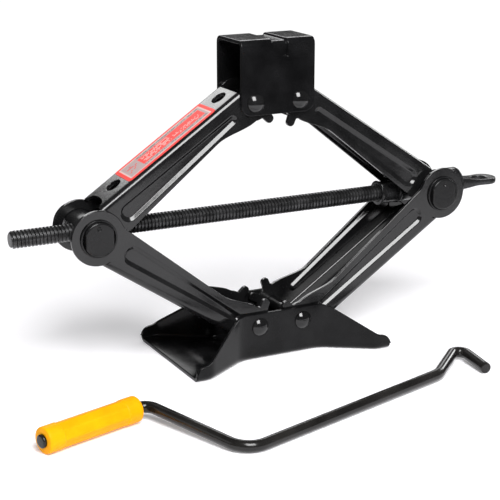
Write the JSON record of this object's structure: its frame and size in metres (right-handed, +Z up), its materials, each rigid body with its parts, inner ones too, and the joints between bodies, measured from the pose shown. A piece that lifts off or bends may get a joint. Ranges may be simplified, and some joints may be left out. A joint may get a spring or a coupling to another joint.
{
  "type": "scissor stabilizer jack",
  "caption": "Scissor jack with geared channel arms, a horizontal lead screw, a folded base pan, a channel head and a loose hooked crank.",
  "frame": {"origin": "centre of the base's underside, on the ground", "axes": "+X along the lead screw towards its eye, +Z up through the head, -Y towards the crank"},
  "size_m": [0.4779, 0.2552, 0.2627],
  "materials": {
    "painted_steel": "gloss black paint over pressed steel",
    "black_pins": "gloss black paint over riveted pins",
    "trunnion_steel": "satin black machined bar",
    "screw_steel": "oiled black oxide",
    "sleeve_steel": "semi-gloss black tube",
    "bearing_steel": "hardened bearing steel",
    "crank_paint": "gloss black rod",
    "yellow_plastic": "moulded yellow grip",
    "label_film": "printed film label, red and silver"
  },
  "bodies": {
    "base": {"base_plate": "painted_steel", "base_pivot_pin_left": "black_pins", "base_pivot_pin_right": "black_pins"},
    "lower_arm_left": {"lower_arm_left": "painted_steel"},
    "lower_arm_right": {"lower_arm_right": "painted_steel"},
    "upper_arm_left": {"upper_arm_left": "painted_steel", "rating_label": "label_film"},
    "upper_arm_right": {"upper_arm_right": "painted_steel"},
    "head": {"head_bracket": "painted_steel", "head_pivot_pin_left": "black_pins", "head_pivot_pin_right": "black_pins"},
    "nut_trunnion": {"trunnion_nut": "trunnion_steel", "nut_side_washers": "trunnion_steel", "nut_retaining_rings": "black_pins"},
    "bearing_trunnion": {"trunnion_bearing_block": "trunnion_steel", "bearing_side_washers": "trunnion_steel", "bearing_retaining_rings": "black_pins", "sleeve_washer": "screw_steel", "thrust_race_fixed": "bearing_steel", "thrust_balls": "bearing_steel", "thrust_ball_cage": "bearing_steel"},
    "screw": {"lead_screw": "screw_steel", "screw_sleeve": "sleeve_steel", "sleeve_roll_pin": "screw_steel", "thrust_race_turning": "bearing_steel"},
    "crank": {"crank_rod": "crank_paint"},
    "grip": {"crank_grip": "yellow_plastic"}
  },
  "joints": [
    {"name": "lift", "type": "hinge", "parent": "base", "child": "lower_arm_left", "pos_m": [-0.02, 0, 0.028], "axis": [0, 1, 0], "range_deg": [-26, 36]},
    {"name": "lower_right_swing", "type": "hinge", "parent": "base", "child": "lower_arm_right", "pos_m": [0.02, 0, 0.028], "axis": [0, 1, 0], "range_deg": [-36, 26]},
    {"name": "upper_left_fold", "type": "hinge", "parent": "lower_arm_left", "child": "upper_arm_left", "pos_m": [-0.15794, 0, 0.12034], "axis": [0, 1, 0], "range_deg": [-72, 52]},
    {"name": "head_level", "type": "hinge", "parent": "upper_arm_left", "child": "head", "pos_m": [-0.02, 0, 0.21269], "axis": [0, 1, 0], "range_deg": [-26, 36]},
    {"name": "nut_level", "type": "hinge", "parent": "lower_arm_left", "child": "nut_trunnion", "pos_m": [-0.15794, 0, 0.12034], "axis": [0, 1, 0], "range_deg": [-36, 26]},
    {"name": "upper_right_fold", "type": "hinge", "parent": "lower_arm_right", "child": "upper_arm_right", "pos_m": [0.15794, 0, 0.12034], "axis": [0, 1, 0], "range_deg": [-52, 72]},
    {"name": "bearing_level", "type": "hinge", "parent": "lower_arm_right", "child": "bearing_trunnion", "pos_m": [0.15794, 0, 0.12034], "axis": [0, 1, 0], "range_deg": [-26, 36]},
    {"name": "screw_turn", "type": "hinge", "parent": "bearing_trunnion", "child": "screw", "pos_m": [0, 0, 0.12034], "axis": [1, 0, 0], "continuous": true},
    {"name": "crank_lift", "type": "slide", "parent": "base", "child": "crank", "axis": [0, 0, 1], "range_m": [0, 0.12]},
    {"name": "grip_spin", "type": "hinge", "parent": "crank", "child": "grip", "pos_m": [-0.20388, -0.11744, 0.01022], "axis": [0.9581, 0.2865, 0.0042], "continuous": true}
  ],
  "couplings": [
    {"joint": "lower_right_swing", "follows": "lift", "ratio": -1},
    {"joint": "upper_left_fold", "follows": "lift", "ratio": -2},
    {"joint": "head_level", "follows": "lift", "ratio": 1},
    {"joint": "nut_level", "follows": "lift", "ratio": -1},
    {"joint": "upper_right_fold", "follows": "lift", "ratio": 2},
    {"joint": "bearing_level", "follows": "lift", "ratio": 1}
  ]
}
